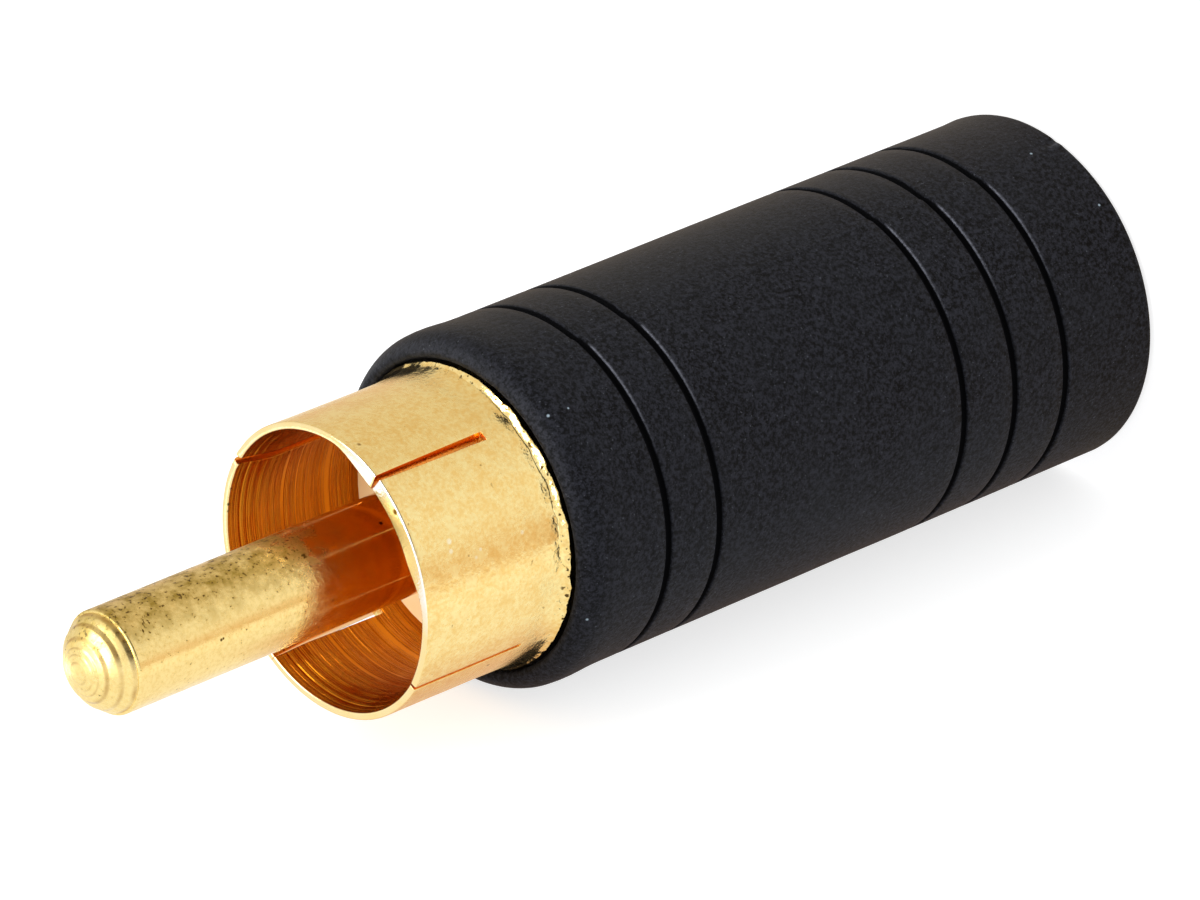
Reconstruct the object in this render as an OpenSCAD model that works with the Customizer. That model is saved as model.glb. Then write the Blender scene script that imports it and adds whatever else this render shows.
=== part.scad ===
// Moulded audio adaptor: a phono plug at the top, a 3.5 mm jack socket in the end that it stands on.
// The axis is Z, the jack end lies on z = 0 and the plug's pin points up. Millimetres.

/* [Moulded body] */
// Diameter of the moulded grip
body_d = 11; // [10.6:0.1:14]
// Length of the grip, from the jack end to the nose
body_len = 23.6; // [23.6:0.1:32]
// Radius of the rounded nose
nose_r = 0.9; // [0.5:0.05:0.9]
// Radius of the nose's inner lip, where it meets the shell
lip_r = 0.3; // [0.1:0.05:0.4]
// Radius of the edge at the jack end
end_r = 0.25; // [0.1:0.05:0.5]
// Width of a grip groove
groove_w = 0.3; // [0.2:0.05:0.5]
// Depth of a grip groove
groove_depth = 0.2; // [0.1:0.05:0.3]
// Grooves near the jack end
rear_grooves = 3; // [1:1:4]
// From the jack end to the first of them
rear_groove_start = 3.75; // [2:0.05:5]
// Spacing of the grooves near the jack end
rear_groove_pitch = 2.15; // [1:0.05:2.5]
// Grooves near the nose
front_grooves = 2; // [1:1:3]
// From the nose to the first of them
front_groove_start = 3.4; // [2:0.05:5]
// Spacing of the grooves near the nose
front_groove_pitch = 2.05; // [1:0.05:2.5]

/* [Plug shell] */
// Outer diameter of the shell
shell_d = 9.1; // [7.6:0.1:9.2]
// Wall of the shell's fingers
shell_wall = 0.4; // [0.3:0.05:0.5]
// From the nose to the shell's rim
shell_reach = 5.2; // [4:0.1:7]
// From the rim to the face of the insulator
shell_depth = 4.8; // [4:0.1:5.5]
// Rounding of the rim's outer edge
rim_r = 0.06; // [0.05:0.01:0.15]
// Slits between the fingers
slits = 4; // [2:1:6]
// Width of a slit
slit_w = 0.3; // [0.2:0.05:0.6]
// Length of a slit from the rim
slit_len = 4.2; // [3:0.1:4.5]
// Thickness of the web behind the insulator
web_t = 2.4; // [2.2:0.1:3]
// Length of the anchor flange at the back of the web
flange_len = 1.2; // [0.8:0.1:1.2]
// Length of the anchor groove in front of the flange
anchor_len = 0.8; // [0.5:0.1:0.9]
// Depth of the anchor groove
anchor_depth = 0.75; // [0.4:0.05:0.8]
// Depth of the two flats on the flange
flat_depth = 0.4; // [0.2:0.05:0.5]

/* [Pin and insulator] */
// Diameter of the centre pin
pin_d = 3.2; // [2.8:0.05:3.9]
// From the shell's rim to the tip of the pin
pin_reach = 9.45; // [7:0.05:11]
// Height of the pin's domed nose
dome_h = 1; // [0.5:0.05:1.2]
// Width of the ledge around the dome
dome_ledge = 0.08; // [0.05:0.01:0.2]
// Diameter of the pin's stem in the insulator
stem_d = 2.2; // [2:0.05:2.4]
// Step of the barb on the stem
barb_h = 0.15; // [0.1:0.05:0.25]
// Length of the barb
barb_len = 0.6; // [0.4:0.1:0.8]
// Length of the stem behind the web
tail_len = 1.6; // [1.4:0.1:1.8]
// Diameter of the solder cup in the stem's end
cup_d = 1.2; // [1:0.05:1.4]
// Depth of the solder cup
cup_depth = 1.2; // [0.8:0.1:1.4]
// Thickness of the insulator's disc
insulator_t = 1.6; // [1.4:0.1:2]
// Chamfer on the insulator's front edge
insulator_chamfer = 0.2; // [0.1:0.05:0.4]
// Wall of the insulator around the stem
boss_wall = 0.9; // [0.6:0.05:1]
// Length of the insulator's boss behind the web
boss_len = 0.4; // [0.2:0.1:0.6]

/* [Jack socket] */
// Bore of the socket, for a 3.5 mm plug
jack_bore = 3.6; // [3.55:0.05:4.4]
// Depth of the socket
jack_depth = 14.6; // [14.3:0.1:14.6]
// Chamfer at the socket's mouth
mouth_chamfer = 0.3; // [0.1:0.05:0.4]
// Length of the bushing
bushing_len = 4.2; // [3:0.1:6]
// Wall of the bushing's barrel
bushing_wall = 0.9; // [0.7:0.05:1]
// Step of the bushing's flange
bushing_step = 0.5; // [0.3:0.05:0.7]
// Thickness of the bushing's flange
bushing_flange = 0.8; // [0.5:0.1:1.2]
// Wall of the housing around the barrel
housing_wall = 0.9; // [0.8:0.05:1]
// End wall of the housing
housing_end = 1; // [0.8:0.1:1]
// Room around the plug inside the housing, on the diameter
cavity_room = 0.4; // [0.35:0.05:0.5]
// Thickness of the sleeve tag
tag_t = 0.3; // [0.2:0.05:0.4]
// Width of the tag's strip
tag_w = 1.6; // [1.2:0.1:2]
// Step from the housing's outside in to the tag's outside
tag_inset = 0.1; // [0.1:0.02:0.2]
// Length of the tag's strip behind the housing
tag_tail = 1.6; // [1.2:0.1:1.8]
// Thickness of the tip spring
spring_t = 0.25; // [0.15:0.05:0.3]
// Width of the tip spring
spring_w = 1.6; // [1.2:0.1:1.8]
// From the jack end to the spring's contact
contact_z = 11.7; // [11:0.1:12.5]
// Radius at which the free spring stands into the socket
contact_r = 1.1; // [0.9:0.05:1.4]
// Radius of the bend at the contact
contact_bend = 0.7; // [0.5:0.1:1]
// Room for the spring outside the cavity
spring_room = 1; // [0.8:0.05:1]
// Gap between the housing and the spring's lug
lug_gap = 0.5; // [0.3:0.1:0.6]

/* [Links] */
// Diameter of the link wires
wire_d = 0.6; // [0.4:0.05:0.7]
// Room around a wire in its eyelet, on the diameter
eyelet_room = 0.2; // [0.1:0.05:0.3]
// Depth of the wire's hole in the shell
shell_hole = 0.8; // [0.5:0.1:1]
// Height of a solder cone
solder_h = 0.45; // [0.3:0.05:0.5]
// Step from a wire to the foot of its solder
solder_step = 0.3; // [0.2:0.05:0.4]
// Wall of the inner mould outside the housing
inner_wall = 0.4; // [0.2:0.05:0.6]

/* [Hidden] */
// Clearance between pieces that are pushed together
fit = 0.02;
// How far a cut runs past the face that it starts from
past = 1;
$fn = 96;

rim_z = body_len + shell_reach;
face_z = rim_z - shell_depth;
seat_z = face_z - insulator_t;
shell_back_z = seat_z - web_t;
pin_top_z = rim_z + pin_reach;
pin_back_z = shell_back_z - tail_len;
boss_back_z = shell_back_z - boss_len;

shell_r = shell_d / 2;
shell_bore_r = shell_r - shell_wall;
boss_r = stem_d / 2 + boss_wall;
dome_z = pin_top_z - dome_h;
dome_r = pin_d / 2 - dome_ledge;
dome_sphere_r = (pow(dome_r, 2) + pow(dome_h, 2)) / (2 * dome_h);

barrel_r = jack_bore / 2 + bushing_wall;
flange_r = barrel_r + bushing_step;
housing_r = barrel_r + housing_wall;
housing_z = bushing_flange + tag_t;
housing_back_z = jack_depth + housing_end;
cavity_r = (jack_bore + cavity_room) / 2;
tag_r = housing_r - tag_inset;
tag_back_z = housing_back_z + tag_tail;
inner_r = housing_r + inner_wall;

spring_y = -(cavity_r + spring_room - spring_t / 2);
lug_z = housing_back_z + lug_gap + spring_t / 2;
lug_top_z = lug_z + spring_t / 2;
lug_reach = spring_w / 2;

eyelet_d = wire_d + eyelet_room;
solder_r = wire_d / 2 + solder_step;
ground_y = tag_r - tag_t - fit - wire_d / 2;
ground_back_z = housing_back_z + lug_gap;
signal_back_z = lug_z - spring_t / 2;

// A cylinder from one height to another.
module rod(r, from, to) {
    translate([0, 0, from]) cylinder(r = r, h = to - from);
}

// The waste outside a rounded corner of radius r that points to +x, +y.
module corner_waste(r) {
    difference() {
        translate([-r, -r]) square(r + past);
        translate([-r, -r]) circle(r);
    }
}

// The section of one grip groove, at height z.
module groove(z) {
    translate([body_d / 2 - groove_depth, z - groove_w / 2]) square([groove_depth + past, groove_w]);
}

// The outside of the grip, as a solid.
module grip_blank() {
    rotate_extrude() difference() {
        square([body_d / 2, body_len]);
        translate([body_d / 2, body_len]) corner_waste(nose_r);
        translate([body_d / 2, 0]) mirror([0, 1]) corner_waste(end_r);
        translate([shell_r, body_len]) mirror([1, 0]) corner_waste(lip_r);
        for (i = [0 : rear_grooves - 1]) groove(rear_groove_start + i * rear_groove_pitch);
        for (i = [0 : front_grooves - 1]) groove(body_len - front_groove_start - i * front_groove_pitch);
    }
}

// The outside of the shell, as a solid: the tube, the anchor groove and the flange with its flats.
module shell_blank() {
    flange_z = shell_back_z + flange_len;
    rotate_extrude() difference() {
        translate([0, flange_z]) square([shell_r, rim_z - flange_z]);
        translate([shell_r - anchor_depth, flange_z]) square([anchor_depth + past, anchor_len]);
        translate([shell_r, rim_z]) corner_waste(rim_r);
    }
    intersection() {
        rod(shell_r, shell_back_z, flange_z);
        translate([flat_depth - shell_r, -shell_r, shell_back_z])
            cube([2 * (shell_r - flat_depth), 2 * shell_r, flange_len]);
    }
}

// One saw cut, inwards from the rim on the +x side, with a square end.
module slit() {
    translate([boss_r, -slit_w / 2, rim_z - slit_len]) cube([shell_r, slit_w, slit_len + past]);
}

// The outside of the pin's stem with its barb, widened by a clearance.
module stem(room) {
    barb_z = (boss_back_z + face_z) / 2;
    rod(stem_d / 2 + room, pin_back_z, face_z + room);
    translate([0, 0, barb_z]) cylinder(r1 = stem_d / 2 + room, r2 = stem_d / 2 + barb_h + room, h = barb_len);
}

// A solder cone that stands on z = 0 around a wire and fills its eyelet for a depth below.
module eyelet_solder(depth) {
    rotate_extrude() polygon([
        [wire_d / 2, -depth],
        [eyelet_d / 2, -depth],
        [eyelet_d / 2, 0],
        [solder_r, 0],
        [wire_d / 2, solder_h]
    ]);
}

// Bent strip: the outline of a strip of thickness t along a line of points, with mitred bends.
function unit(v) = v / norm(v);
function edge_normal(p, i) = let (d = unit(p[i + 1] - p[i])) [-d[1], d[0]];
function mitre(a, b) = (a + b) / (1 + a * b);
function bend(p, i) =
    i == 0 ? edge_normal(p, 0)
    : i == len(p) - 1 ? edge_normal(p, i - 1)
    : mitre(edge_normal(p, i - 1), edge_normal(p, i));
function strip(p, t) = concat(
    [for (i = [0 : len(p) - 1]) p[i] + bend(p, i) * t / 2],
    [for (i = [len(p) - 1 : -1 : 0]) p[i] - bend(p, i) * t / 2]
);

// The spring's middle line in [y, z]: the lug, the back that lies in the housing, the bowed contact.
spring_rise = 38;
spring_tip_share = 0.6;
contact_mid = -(contact_r + contact_bend + spring_t / 2);
spring_slope_len = (contact_mid + contact_bend * cos(spring_rise) - spring_y) / sin(spring_rise);
spring_lift_z = contact_z + contact_bend * sin(spring_rise) + spring_slope_len * cos(spring_rise);
spring_tip_len = spring_tip_share * spring_slope_len;
spring_line = concat(
    [[lug_reach, lug_z], [spring_y, lug_z], [spring_y, spring_lift_z]],
    [for (a = [spring_rise : -spring_rise / 3 : -spring_rise])
        [contact_mid + contact_bend * cos(a), contact_z + contact_bend * sin(a)]],
    [[contact_mid + contact_bend * cos(spring_rise) - spring_tip_len * sin(spring_rise),
        contact_z - contact_bend * sin(spring_rise) - spring_tip_len * cos(spring_rise)]]
);
spring_front_z = contact_z - contact_bend - spring_slope_len;

module body_moulding() {
    color("#2b2c30") difference() {
        grip_blank();
        rod(flange_r, -past, bushing_flange);
        rod(tag_r, bushing_flange, housing_z);
        sleeve_tag();
        rod(housing_r, housing_z, housing_back_z);
        rod(inner_r, housing_back_z, shell_back_z);
        shell_blank();
    }
}

module plug_shell() {
    color("#dcb764") difference() {
        shell_blank();
        rod(shell_bore_r, seat_z, rim_z + past);
        rod(boss_r + fit, shell_back_z - past, seat_z);
        translate([0, ground_y, shell_back_z - past]) cylinder(d = eyelet_d, h = past + shell_hole);
        for (i = [0 : slits - 1]) rotate([0, 0, i * 360 / slits]) slit();
    }
}

module plug_insulator() {
    disc_r = shell_bore_r - fit;
    color("#f3efe6") difference() {
        union() {
            rod(disc_r, seat_z, face_z - insulator_chamfer);
            translate([0, 0, face_z - insulator_chamfer])
                cylinder(r1 = disc_r, r2 = disc_r - insulator_chamfer, h = insulator_chamfer);
            rod(boss_r, boss_back_z, seat_z);
        }
        stem(fit);
    }
}

module centre_pin() {
    color("#dcb764") difference() {
        union() {
            rotate_extrude() {
                translate([0, face_z]) square([pin_d / 2, dome_z - face_z]);
                intersection() {
                    translate([0, pin_top_z - dome_sphere_r]) circle(dome_sphere_r);
                    translate([0, dome_z]) square([dome_r, dome_h]);
                }
            }
            stem(0);
        }
        rod(cup_d / 2, pin_back_z - past, pin_back_z + cup_depth);
    }
}

module jack_bushing() {
    color("#dcb764") difference() {
        union() {
            rod(flange_r, 0, bushing_flange);
            rod(barrel_r, bushing_flange, bushing_len);
        }
        rod(jack_bore / 2, -past, bushing_len + past);
        translate([0, 0, -fit])
            cylinder(r1 = jack_bore / 2 + mouth_chamfer + fit, r2 = jack_bore / 2, h = mouth_chamfer + fit);
    }
}

module sleeve_tag() {
    color("#cfc8b4") {
        difference() {
            rod(tag_r, bushing_flange, housing_z);
            rod(barrel_r + fit, 0, housing_z + past);
        }
        translate([-tag_w / 2, tag_r - tag_t, bushing_flange])
            cube([tag_w, tag_t, tag_back_z - bushing_flange]);
    }
}

module jack_housing() {
    color("#1d1d20") difference() {
        rod(housing_r, housing_z, housing_back_z);
        rod(barrel_r + fit, housing_z - past, bushing_len + fit);
        rod(cavity_r, bushing_len, jack_depth);
        // the channel for the tag's strip
        translate([-tag_w / 2 - fit, tag_r - tag_t - fit, housing_z - past])
            cube([tag_w + 2 * fit, housing_r, housing_back_z]);
        // the room for the spring, and the slot that its back is pushed in through
        translate([-spring_w / 2 - fit, spring_y - spring_t / 2 - fit, spring_front_z])
            cube([spring_w + 2 * fit, -spring_y, jack_depth - spring_front_z]);
        translate([-spring_w / 2 - fit, spring_y - spring_t / 2 - fit, jack_depth - past])
            cube([spring_w + 2 * fit, spring_t + 2 * fit, housing_end + 2 * past]);
    }
}

module tip_spring() {
    color("#cfa65a") difference() {
        rotate([90, 0, 90]) translate([0, 0, -spring_w / 2])
            linear_extrude(spring_w) polygon(strip(spring_line, spring_t));
        rod(eyelet_d / 2, lug_z - past, lug_z + past);
    }
}

module signal_wire() {
    color("#c9ccd0") rod(wire_d / 2, signal_back_z, pin_back_z + cup_depth - fit);
}

module ground_wire() {
    color("#c9ccd0") translate([0, ground_y, 0])
        rod(wire_d / 2, ground_back_z, shell_back_z + shell_hole - fit);
}

module solder_tip_lug() {
    color("#b9bcc0") translate([0, 0, lug_top_z]) eyelet_solder(spring_t);
}

module solder_pin_cup() {
    color("#b9bcc0") difference() {
        rod(cup_d / 2, pin_back_z, pin_back_z + cup_depth);
        rod(wire_d / 2, pin_back_z - past, pin_back_z + cup_depth - fit);
    }
}

module solder_sleeve_tag() {
    color("#b9bcc0") difference() {
        translate([0, ground_y, 0]) rotate_extrude() polygon([
            [wire_d / 2, ground_back_z],
            [solder_r, ground_back_z + solder_h],
            [solder_r, tag_back_z - solder_h],
            [wire_d / 2, tag_back_z]
        ]);
        translate([-solder_r, tag_r - tag_t, ground_back_z - past])
            cube([2 * solder_r, solder_r, tag_tail + 2 * past]);
    }
}

module solder_shell() {
    color("#b9bcc0") translate([0, ground_y, shell_back_z]) mirror([0, 0, 1]) eyelet_solder(shell_hole);
}

module inner_mould() {
    color("#d8d6cf") difference() {
        rod(inner_r, housing_back_z, shell_back_z);
        stem(0);
        rod(boss_r, boss_back_z, shell_back_z + past);
        sleeve_tag();
        tip_spring();
        signal_wire();
        ground_wire();
        solder_tip_lug();
        solder_sleeve_tag();
        solder_shell();
    }
}

body_moulding();
plug_shell();
plug_insulator();
centre_pin();
jack_bushing();
sleeve_tag();
jack_housing();
tip_spring();
signal_wire();
ground_wire();
solder_tip_lug();
solder_pin_cup();
solder_sleeve_tag();
solder_shell();
inner_mould();
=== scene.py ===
import math

import bpy
from mathutils import Matrix, Vector, noise


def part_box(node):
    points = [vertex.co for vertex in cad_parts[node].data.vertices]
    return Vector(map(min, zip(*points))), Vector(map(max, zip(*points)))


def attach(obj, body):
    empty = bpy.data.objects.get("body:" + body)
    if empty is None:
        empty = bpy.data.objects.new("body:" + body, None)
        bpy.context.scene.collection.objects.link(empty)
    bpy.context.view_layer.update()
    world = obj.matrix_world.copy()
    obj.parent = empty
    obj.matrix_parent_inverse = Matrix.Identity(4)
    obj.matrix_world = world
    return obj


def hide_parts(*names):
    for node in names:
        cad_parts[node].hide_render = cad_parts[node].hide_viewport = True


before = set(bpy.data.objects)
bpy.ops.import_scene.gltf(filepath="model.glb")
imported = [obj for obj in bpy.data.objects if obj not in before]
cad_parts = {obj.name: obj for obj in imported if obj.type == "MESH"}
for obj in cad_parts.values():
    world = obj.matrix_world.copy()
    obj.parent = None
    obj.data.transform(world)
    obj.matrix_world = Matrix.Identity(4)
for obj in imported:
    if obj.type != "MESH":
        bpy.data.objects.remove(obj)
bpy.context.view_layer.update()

# Lengths below are in mm, angles in degrees round the plug's axis, with 0 on +X
MM = 0.001
MERGE = 1e-6


def reach(node):
    """Largest radius, lowest and highest point of a CAD node round the plug's axis, in mm."""
    low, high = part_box(node)
    return high.x / MM, low.z / MM, high.z / MM


# Sizes that the frame gives
grip_r, _, grip_len = reach("body_moulding")
shell_r, shell_back, rim_z = reach("plug_shell")
pin_r, pin_back, pin_top = reach("centre_pin")
_, insulator_back, face_z = reach("plug_insulator")
flange_r, _, bushing_back = reach("jack_bushing")
housing_r, _, housing_back = reach("jack_housing")
inner_r, _, _ = reach("inner_mould")

# Where the photograph's camera stands, which way it looks, and how it is rolled
CAMERA_PLACE = (-106.35, -228.15, 211.86)
CAMERA_AZIMUTH = -115.05
CAMERA_ELEVATION = 37.64
CAMERA_ROLL = -112.3
CAMERA_LENS = 320.8
SENSOR = 36
CLIP_NEAR = 10
CLIP_FAR = 10000

# The white surface that the plug lies on in the photograph touches the grip at this angle
LYING_SIDE = 121

# The mould's two halves meet in a plane through the axis, at this angle and opposite it
PARTING = -75

UP = Vector((0, 0, 1))


def unit(angle):
    """The direction at an angle round the axis."""
    return Vector((math.cos(math.radians(angle)), math.sin(math.radians(angle)), 0))


def at(angle, across, height):
    """The point at an angle, a distance from the axis and a height."""
    return unit(angle) * across + Vector((0, 0, height))


def polar(point):
    """The angle from -180 to 180, the distance from the axis and the height, in mm, of a mesh's point."""
    place = point / MM
    return math.degrees(math.atan2(place.y, place.x)), math.hypot(place.x, place.y), place.z


def apart(angle, other):
    """The signed difference of two angles, from -180 to 180."""
    return (angle - other + 180) % 360 - 180


def bell(distance, width):
    """1 at no distance, falling off smoothly over a width."""
    return math.exp(-(distance / width) ** 2)


def ease(value, low, high):
    """0 below low, 1 above high, smooth between them."""
    share = min(max((value - low) / (high - low), 0), 1)
    return share * share * (3 - 2 * share)


def grain(place, size):
    """Smooth noise between about -1 and 1, with features of a size in mm."""
    return noise.noise(place / size)


def between(low, high, step):
    """Even heights strictly between two heights, about a step apart."""
    count = max(int((high - low) / step), 1)
    return [low + (high - low) * i / count for i in range(1, count)]


def arc(centre, radius, start, end, steps):
    """Points of a rounded corner as (distance from the axis, height) pairs."""
    turns = [math.radians(start + (end - start) * i / steps) for i in range(steps + 1)]
    return [(centre[0] + radius * math.cos(t), centre[1] + radius * math.sin(t)) for t in turns]


def turn(name, profile, columns):
    """A turned piece: a profile of (distance from the axis, height) points, drawn and then spun round."""
    bpy.ops.object.select_all(action="DESELECT")
    bpy.ops.mesh.primitive_plane_add(size=MM)
    piece = bpy.context.object
    piece.name = name
    bpy.ops.object.mode_set(mode="EDIT")
    bpy.ops.mesh.select_mode(type="VERT")
    bpy.ops.mesh.select_all(action="SELECT")
    bpy.ops.mesh.merge(type="CENTER")
    bpy.ops.transform.translate(value=(profile[0][0] * MM, 0, profile[0][1] * MM))
    for before, after in zip(profile, profile[1:]):
        step = ((after[0] - before[0]) * MM, 0, (after[1] - before[1]) * MM)
        bpy.ops.mesh.extrude_region_move(TRANSFORM_OT_translate={"value": step})
    bpy.ops.mesh.select_all(action="SELECT")
    bpy.ops.mesh.spin(steps=columns, angle=math.tau, center=(0, 0, 0), axis=(0, 0, 1))
    bpy.ops.mesh.select_all(action="SELECT")
    bpy.ops.mesh.remove_doubles(threshold=MERGE)
    bpy.ops.mesh.normals_make_consistent(inside=False)
    bpy.ops.object.mode_set(mode="OBJECT")
    return piece


def move_points(piece, change):
    """Moves points: a function of angle, distance from the axis and height gives the new three."""
    for point in piece.data.vertices:
        angle, across, height = polar(point.co)
        if across == 0:
            continue
        point.co = at(*change(angle, across, height)) * MM


def mark_points(piece, name, measure):
    """Stores a function of angle, distance from the axis and height on a piece's points."""
    values = piece.data.attributes.new(name, "FLOAT", "POINT").data
    for point, value in zip(piece.data.vertices, values):
        value.value = measure(*polar(point.co))


def finish_piece(piece, materials, slot, *nodes, smooth=35):
    """Smooths a piece, gives it its materials and its CAD body, and lets it stand for its CAD nodes."""
    bpy.ops.object.select_all(action="DESELECT")
    piece.select_set(True)
    bpy.context.view_layer.objects.active = piece
    bpy.ops.object.shade_smooth_by_angle(angle=math.radians(smooth))
    for material in materials:
        piece.data.materials.append(material)
    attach(piece, "root")
    if nodes:
        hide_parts(*nodes)


# The grip's own shape
END_ROUND = 0.25
END_RING = 4.2
NOSE_ROUND = 0.9
LIP_ROUND = 0.2
GRIP_ROW = 0.35
NOSE_ROW = 0.25
GRIP_COLUMNS = 360
GROOVE_WIDTH = 0.26
GROOVE_DEPTH = 0.2
GROOVE_EDGE = 0.04
GROOVES = [3.75, 5.9, 8.05, grip_len - 5.45, grip_len - 3.4]
# The nose stands this far off the shell, down to this depth, and closes on it over a taper
GAP = 0.29
GAP_DEPTH = 0.8
GAP_TAPER = 0.2
# How far the nose swells, how far behind its end, and over what length
NOSE_BULGE = 0.06
BULGE_BACK = 1.3
BULGE_SPREAD = 0.7
# One half of the mould stands this far back and has its grooves this much higher, away from the two ends
HALF_STEP = 0.02
GROOVE_SLIP = 0.04
STEP_BLUR = 0.5
STEP_STARTS = (0.3, 0.6)
SLIP_FROM = 0.5
SLIP_TO = grip_len - 1
# The flash on the parting line: its height, its width in degrees, the size of its bumps, and the radius
# where it has faded out
FLASH = 0.015
FLASH_WIDTH = 0.8
FLASH_GRAIN = 0.7
FLASH_R = 5
# Slow waves in the skin, and the ragged lip round the shell
WAVE = 0.012
WAVE_SIZE = 3.1
RAGGED = 0.02
RAGGED_FINE = 0.22
RAGGED_COARSE = 0.6
RAGGED_SHARE = 0.6
LIP_BAND = 0.4
# A nick in the edge at the jack end, and the ridge that is pushed up beside it
NICK_ANGLE = -72.2
NICK_Z = 0.3
NICK_DEPTH = 0.09
NICK_TURN = 1.2
NICK_SPREAD = 0.2
RIDGE_ANGLE = NICK_ANGLE - 2
RIDGE_Z = NICK_Z + 0.1
RIDGE = 0.05
# The painted highlight on the grooves' rear edges begins, is full, fades and ends this many degrees below
# the parting line
GROOVE_HIGHLIGHT_FROM = (3, 6)
GROOVE_HIGHLIGHT_TO = (16, 48)
# A faint painted highlight on the crown of the nose: how far behind its end, its width, its spread in
# degrees, its strength and the size of its patches; there is none inside a radius
CROWN_BACK = 0.25
CROWN_WIDTH = 0.13
CROWN_TURN = 45
CROWN_HIGHLIGHT = 0.12
CROWN_GRAIN = 1.2
CROWN_R = shell_r + 0.5


def groove(middle):
    """The outline of one groove in the grip, going up."""
    low, high = middle - GROOVE_WIDTH / 2, middle + GROOVE_WIDTH / 2
    floor_r = grip_r - GROOVE_DEPTH
    return [
        (grip_r, low - GROOVE_EDGE * 2.5),
        (grip_r, low - GROOVE_EDGE),
        (grip_r - GROOVE_EDGE / 3, low - GROOVE_EDGE / 3),
        (grip_r - GROOVE_EDGE, low),
        (grip_r - GROOVE_EDGE * 2, low + GROOVE_EDGE / 8),
        (floor_r + GROOVE_EDGE, low + GROOVE_EDGE / 2),
        (floor_r, low + GROOVE_EDGE * 1.5),
        (floor_r, high - GROOVE_EDGE * 1.5),
        (floor_r + GROOVE_EDGE, high - GROOVE_EDGE / 2),
        (grip_r - GROOVE_EDGE, high),
        (grip_r - GROOVE_EDGE / 3, high + GROOVE_EDGE / 3),
        (grip_r, high + GROOVE_EDGE),
    ]


def grip_profile():
    """The grip's section, from the rim of the socket's hole out, up, over the nose and back inside."""
    outline = [(flange_r, 0), (END_RING, 0)]
    outline += arc((grip_r - END_ROUND, END_ROUND), END_ROUND, -90, 0, steps=6)
    level = END_ROUND
    for middle in GROOVES:
        outline += [(grip_r, z) for z in between(level, middle - GROOVE_WIDTH, GRIP_ROW)]
        outline += groove(middle)
        level = middle + GROOVE_WIDTH
    nose_z = grip_len - NOSE_ROUND
    hole_r = shell_r + GAP
    outline += [(grip_r, z) for z in between(level, nose_z, NOSE_ROW)]
    inside = NOSE_ROUND - LIP_ROUND
    meet = math.degrees(math.acos((hole_r + LIP_ROUND - grip_r + NOSE_ROUND) / inside))
    lip_z = nose_z + inside * math.sin(math.radians(meet))
    outline += arc((grip_r - NOSE_ROUND, nose_z), NOSE_ROUND, 0, meet, steps=12)
    outline += arc((hole_r + LIP_ROUND, lip_z), LIP_ROUND, meet, 180, steps=10)[1:]
    outline += [(hole_r, grip_len - GAP_DEPTH), (shell_r, grip_len - GAP_DEPTH - GAP_TAPER)]
    outline += [(shell_r, shell_back), (inner_r, shell_back), (inner_r, housing_back)]
    outline += [(housing_r, housing_back), (housing_r, FLANGE_DEPTH), (flange_r, FLANGE_DEPTH)]
    outline += [(flange_r, 0)]
    return outline


def mould_marks(angle, across, height):
    """The mould's halves don't quite meet: one stands back, its grooves sit higher, and the nose swells."""
    if across < shell_r + GAP / 2:
        return angle, across, height
    half = ease(apart(angle, PARTING), -STEP_BLUR, STEP_BLUR)
    half *= ease(apart(PARTING + 180, angle), -STEP_BLUR, STEP_BLUR)
    place = at(angle, across, height)
    outside = ease(across, FLASH_R, grip_r)
    across += NOSE_BULGE * bell(height - (grip_len - BULGE_BACK), BULGE_SPREAD) * outside
    across -= HALF_STEP * half * ease(height, *STEP_STARTS)
    across += WAVE * grain(place, WAVE_SIZE)
    if SLIP_FROM < height < SLIP_TO:
        height += GROOVE_SLIP * half
    across += FLASH * bell(apart(angle, PARTING), FLASH_WIDTH) * outside * (1 + grain(place, FLASH_GRAIN))
    nick = bell(apart(angle, NICK_ANGLE), NICK_TURN) * bell(height - NICK_Z, NICK_SPREAD)
    ridge = bell(apart(angle, RIDGE_ANGLE), 1) * bell(height - RIDGE_Z, NICK_SPREAD)
    across += RIDGE * ridge - NICK_DEPTH * nick
    if height > grip_len - LIP_BAND and across < shell_r + GAP + LIP_ROUND:
        ragged = grain(place, RAGGED_FINE) + RAGGED_SHARE * grain(place, RAGGED_COARSE)
        across += RAGGED * ragged
        height += RAGGED * ragged
    return angle, across, height


def painted_light_and_ridge_marks(angle, across, height):
    """Painted highlights, up to 1, on the grooves' rear edges and the nose's crown, a pale ridge by the
    nick; -1 in a groove, for painted shade.
    """
    below = apart(PARTING, angle)
    span = ease(below, *GROOVE_HIGHLIGHT_FROM) * (1 - ease(below, *GROOVE_HIGHLIGHT_TO))
    off = min((height - middle for middle in GROOVES), key=abs)
    # In a groove: -1, which the PVC turns into painted shade
    if abs(off) < GROOVE_WIDTH / 2 + GROOVE_EDGE and across < grip_r - GROOVE_EDGE * 1.5:
        return -1
    # Painted highlight along each groove's rear edge, just below the parting line
    edge = bell(off + GROOVE_WIDTH / 2 + GROOVE_EDGE / 3, GROOVE_EDGE * 0.6)
    ridge = bell(apart(angle, RIDGE_ANGLE), 1) * bell(height - RIDGE_Z, NICK_SPREAD * 0.75)
    # Painted highlight on the crown of the nose
    crown = bell(height - grip_len + CROWN_BACK, CROWN_WIDTH) * bell(apart(angle, PARTING), CROWN_TURN)
    if across <= CROWN_R:
        crown = 0
    bloom = CROWN_HIGHLIGHT * (1 + grain(at(angle, across, height), CROWN_GRAIN))
    return max(edge * span, ridge, crown * bloom)


def make_grip():
    """The black grip: one soft moulding with grooves, a swollen nose and the marks of its mould."""
    piece = turn("grip", grip_profile(), GRIP_COLUMNS)
    move_points(piece, mould_marks)
    mark_points(piece, "painted_light_and_ridge", painted_light_and_ridge_marks)
    finish_piece(piece, [moulded_pvc()], "grip", "body_moulding")


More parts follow.
